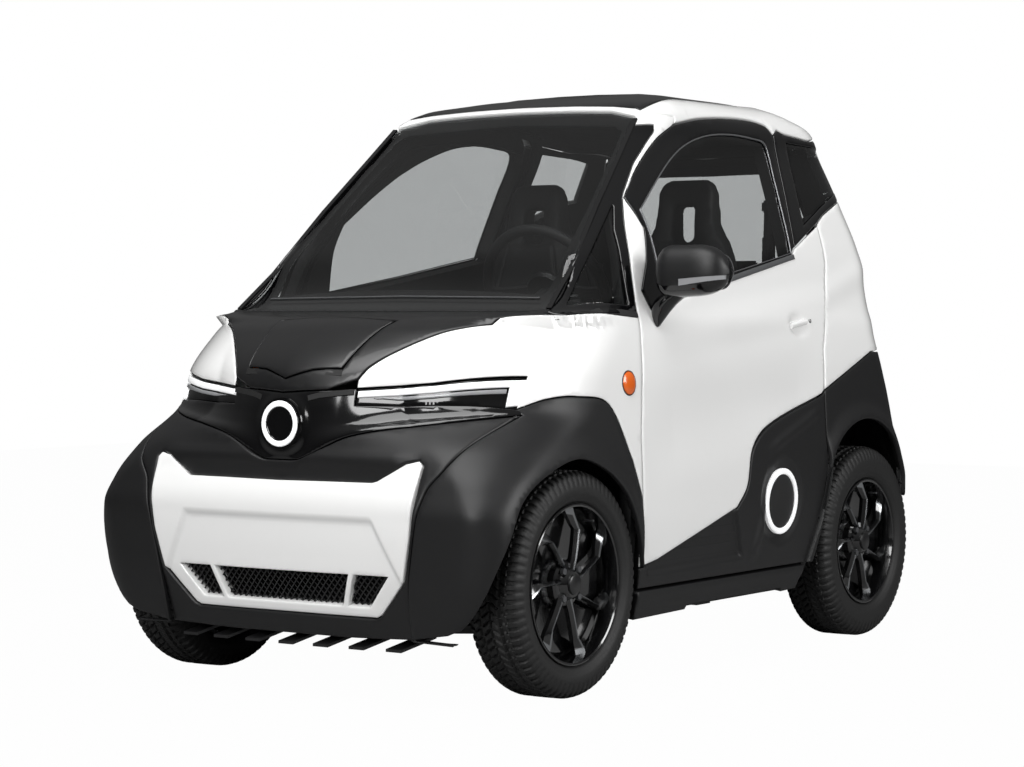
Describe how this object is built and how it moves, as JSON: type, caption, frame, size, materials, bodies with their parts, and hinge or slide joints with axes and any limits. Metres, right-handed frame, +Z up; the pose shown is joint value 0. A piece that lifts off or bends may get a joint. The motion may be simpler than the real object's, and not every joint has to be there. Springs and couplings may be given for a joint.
{
  "type": "two-seat electric microcar",
  "caption": "Short two-door electric city car with a glazed cabin, black lower cladding, a rear hatch, steered front wheels and freely turning wheels.",
  "frame": {"origin": "on the ground under the middle of the whole box, door mirror included; the car's own mid plane is at x = -0.0835 m", "axes": "+X to the car's left, -Y forwards, +Z up"},
  "size_m": [1.433, 2.2876, 1.5619],
  "materials": {
    "body_white": "gloss white lacquer on moulded body panels",
    "roof_black": "gloss black lacquer",
    "trim_black": "satin black moulded cladding",
    "gloss_black": "high gloss black",
    "mesh_black": "moulded mesh",
    "lamp_clear": "clear lamp cover over a dark housing",
    "lamp_red": "red lamp cover",
    "tinted_glass": "grey tinted safety glass",
    "cabin_plastic": "grained cabin moulding",
    "floor_steel": "coated pressed steel",
    "chassis_black": "black powder coat",
    "axle_steel": "bare machined and cast",
    "seat_fabric": "woven and coated seat cover over foam",
    "pack_case": "battery case",
    "wheel_black": "gloss black lacquered alloy",
    "tyre": "tread rubber"
  },
  "bodies": {
    "body": {"floor_pan": "floor_steel", "sills": "trim_black", "front_bumper": "trim_black", "bumper_insert": "body_white", "lower_grille": "mesh_black", "nose_band": "gloss_black", "headlights": "lamp_clear", "bonnet": "roof_black", "front_wings": "body_white", "front_arches": "trim_black", "windscreen": "tinted_glass", "fixed_side_windows": "tinted_glass", "roof_panel": "roof_black", "roof_frame": "body_white", "rear_quarters": "body_white", "tail_lights": "lamp_red", "rear_bumper": "trim_black", "rear_arches": "trim_black", "side_frames": "gloss_black", "front_wheelhouses": "floor_steel", "rear_wheelhouses": "floor_steel", "boot_floor": "cabin_plastic", "battery_packs": "pack_case", "seat_cushions": "seat_fabric", "seat_backs": "seat_fabric", "dashboard": "cabin_plastic", "front_suspension": "chassis_black", "rear_suspension": "chassis_black"},
    "bonnet_flap": {"bonnet_flap": "roof_black"},
    "door_left": {"door_left": "body_white", "door_cladding_left": "trim_black", "door_glass_left": "tinted_glass", "mirror_left": "trim_black"},
    "door_right": {"door_right": "body_white", "door_cladding_right": "trim_black", "door_glass_right": "tinted_glass"},
    "tailgate": {"tailgate": "body_white", "tailgate_glass": "tinted_glass"},
    "knuckle_left": {"knuckle_left": "axle_steel"},
    "knuckle_right": {"knuckle_right": "axle_steel"},
    "steering_wheel": {"steering_wheel": "cabin_plastic"},
    "wheel_front_left": {"tyre_front_left": "tyre", "rim_front_left": "wheel_black"},
    "wheel_front_right": {"tyre_front_right": "tyre", "rim_front_right": "wheel_black"},
    "wheel_rear_left": {"tyre_rear_left": "tyre", "rim_rear_left": "wheel_black"},
    "wheel_rear_right": {"tyre_rear_right": "tyre", "rim_rear_right": "wheel_black"}
  },
  "joints": [
    {"name": "steer_left", "type": "hinge", "parent": "body", "child": "knuckle_left", "pos_m": [0.4065, -0.736, 0.277], "axis": [0, 0, 1], "range_deg": [-30, 30]},
    {"name": "steer_right", "type": "hinge", "parent": "body", "child": "knuckle_right", "pos_m": [-0.5735, -0.736, 0.277], "axis": [0, 0, 1], "range_deg": [-30, 30]},
    {"name": "wheel_front_left_spin", "type": "hinge", "parent": "knuckle_left", "child": "wheel_front_left", "pos_m": [0.4565, -0.736, 0.277], "axis": [1, 0, 0], "continuous": true},
    {"name": "wheel_front_right_spin", "type": "hinge", "parent": "knuckle_right", "child": "wheel_front_right", "pos_m": [-0.6235, -0.736, 0.277], "axis": [1, 0, 0], "continuous": true},
    {"name": "wheel_rear_left_spin", "type": "hinge", "parent": "body", "child": "wheel_rear_left", "pos_m": [0.4565, 0.808, 0.274], "axis": [1, 0, 0], "continuous": true},
    {"name": "wheel_rear_right_spin", "type": "hinge", "parent": "body", "child": "wheel_rear_right", "pos_m": [-0.6235, 0.808, 0.274], "axis": [1, 0, 0], "continuous": true},
    {"name": "door_left_hinge", "type": "hinge", "parent": "body", "child": "door_left", "pos_m": [0.5325, -0.443, 0.5], "axis": [0, 0, -1], "range_deg": [0, 65]},
    {"name": "door_right_hinge", "type": "hinge", "parent": "body", "child": "door_right", "pos_m": [-0.6995, -0.443, 0.5], "axis": [0, 0, 1], "range_deg": [0, 65]},
    {"name": "tailgate_hinge", "type": "hinge", "parent": "body", "child": "tailgate", "pos_m": [-0.0835, 0.9375, 1.416], "axis": [1, 0, 0], "range_deg": [0, 75]},
    {"name": "bonnet_flap_hinge", "type": "hinge", "parent": "body", "child": "bonnet_flap", "pos_m": [-0.0835, -0.891, 0.916], "axis": [-1, 0, 0], "range_deg": [0, 60]},
    {"name": "steering_wheel_turn", "type": "hinge", "parent": "body", "child": "steering_wheel", "pos_m": [0.1715, -0.33, 0.985], "axis": [0, 0.9063, 0.4226], "range_deg": [-450, 450]}
  ],
  "couplings": [
    {"joint": "steer_right", "follows": "steer_left", "ratio": 1},
    {"joint": "steering_wheel_turn", "follows": "steer_left", "ratio": 15}
  ]
}
